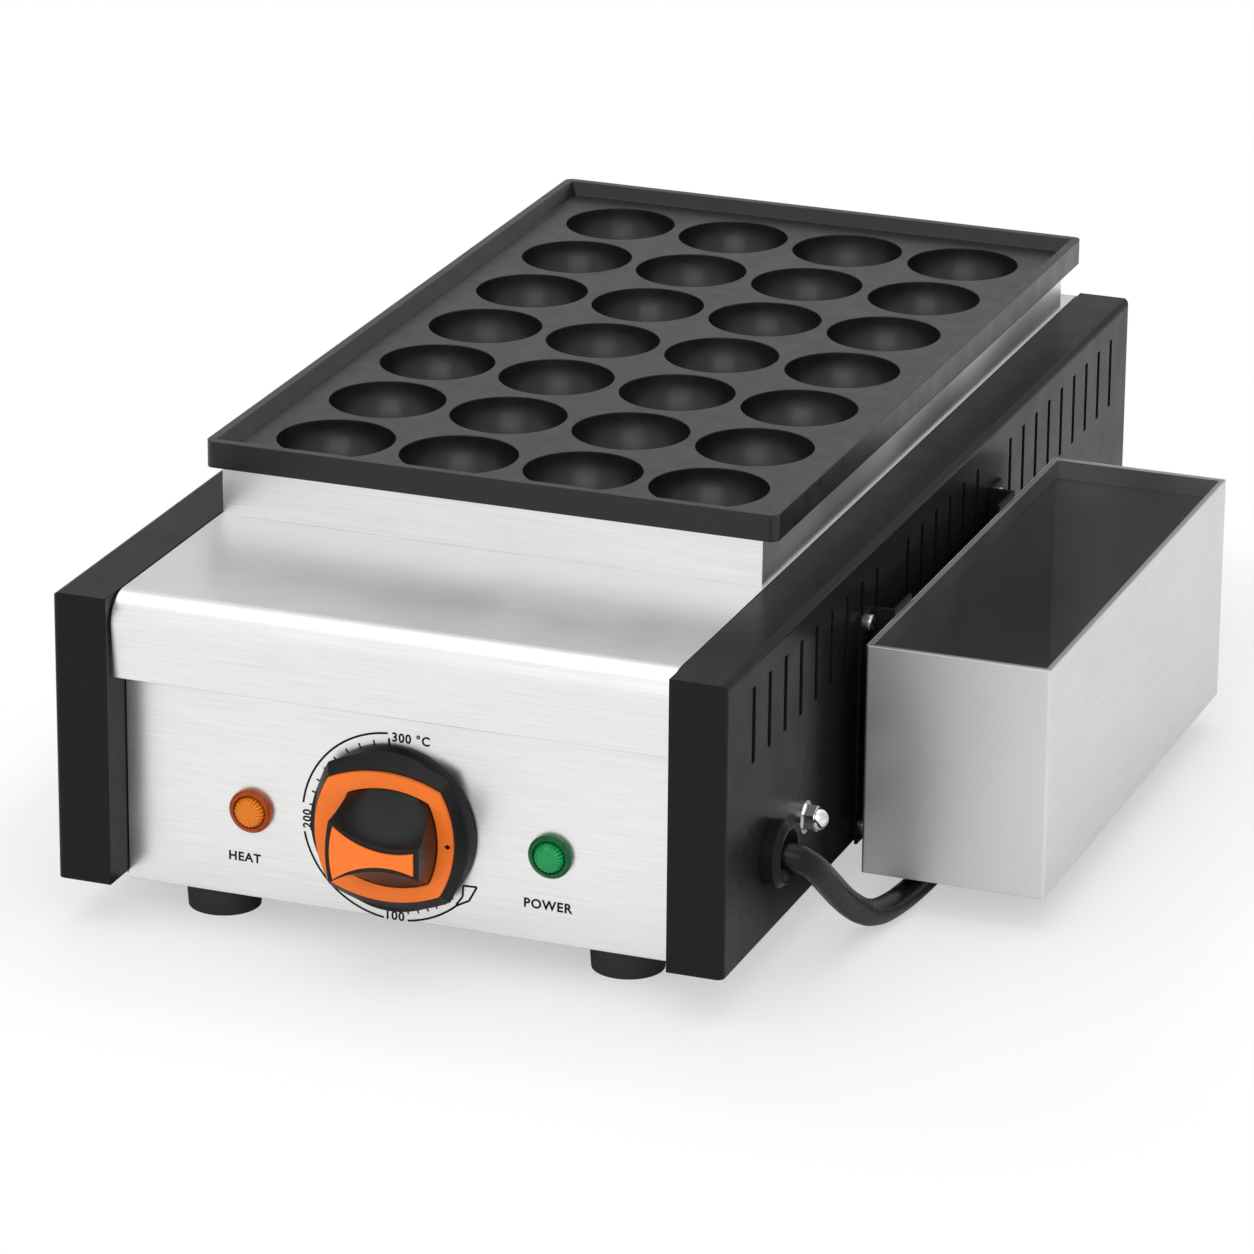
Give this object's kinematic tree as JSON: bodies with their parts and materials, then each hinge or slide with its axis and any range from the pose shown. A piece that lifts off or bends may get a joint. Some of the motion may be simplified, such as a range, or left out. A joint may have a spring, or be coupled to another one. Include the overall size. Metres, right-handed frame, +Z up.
{
  "type": "takoyaki maker",
  "caption": "Countertop takoyaki maker: cast plate of round wells on a sheet steel cabinet with a thermostat knob, two lamps, an open side bin and a mains cord.",
  "frame": {"origin": "middle of the footprint of cabinet, knob and bin, on the floor", "axes": "+X to the right seen from the front, +Y to the back, +Z up"},
  "size_m": [0.3028, 0.6479, 0.1397],
  "materials": {
    "side_paint": "satin black paint",
    "steel": "brushed stainless",
    "bin_steel": "brushed stainless",
    "plate_coat": "black non-stick coat on a casting",
    "inner_steel": "plain zinc-coated sheet",
    "element_sheath": "dull oxidised sheath",
    "knob_black": "satin moulded",
    "knob_orange": "satin moulded",
    "heat_lens": "clear coloured",
    "power_lens": "clear coloured",
    "bezel": "moulded",
    "foot_rubber": "matt",
    "cord_sheath": "smooth sheath",
    "plug_moulding": "smooth moulded",
    "bright_metal": "plated",
    "copper": "drawn copper",
    "block_moulding": "moulded",
    "thermostat_body": "plain"
  },
  "bodies": {
    "cabinet": {"left_side_panel": "side_paint", "right_side_panel": "side_paint", "front_panel": "steel", "rear_panel": "steel", "base_plate": "inner_steel", "deck": "steel", "riser": "steel", "cooking_plate": "plate_coat", "heat_shield": "inner_steel", "left_heating_element": "element_sheath", "right_heating_element": "element_sheath", "plate_studs": "bright_metal", "plate_nuts": "bright_metal", "foot_screws": "bright_metal", "foot_nuts": "bright_metal", "base_screws": "bright_metal", "bracket_screws": "bright_metal", "thermostat_screws": "bright_metal", "front_left_foot": "foot_rubber", "front_right_foot": "foot_rubber", "rear_left_foot": "foot_rubber", "rear_right_foot": "foot_rubber", "thermostat": "thermostat_body", "heat_lamp_bezel": "bezel", "heat_lamp_lens": "heat_lens", "power_lamp_bezel": "bezel", "power_lamp_lens": "power_lens", "lamp_clips": "inner_steel", "cable_bush": "bezel", "bush_locknut": "bezel", "earth_stud": "bright_metal", "earth_washer": "bright_metal", "acorn_nut": "bright_metal", "earth_nut": "bright_metal", "side_bin": "bin_steel", "front_bracket": "side_paint", "rear_bracket": "side_paint", "sensing_bulb": "copper", "bulb_clips": "inner_steel", "capillary_tube": "copper", "terminal_block": "block_moulding", "cord": "cord_sheath", "cord_tail": "cord_sheath", "cord_coil": "cord_sheath", "cord_tie": "bezel", "plug_body": "plug_moulding", "plug_pins": "bright_metal"},
    "knob": {"knob_shaft": "inner_steel", "knob_base": "knob_black", "knob_ring": "knob_orange", "knob_grip": "knob_black", "knob_inset": "knob_orange"}
  },
  "joints": [
    {"name": "knob_turn", "type": "hinge", "parent": "cabinet", "child": "knob", "pos_m": [-0.038, -0.2035, 0.0443], "axis": [0, 1, 0], "range_deg": [0, 270]}
  ]
}
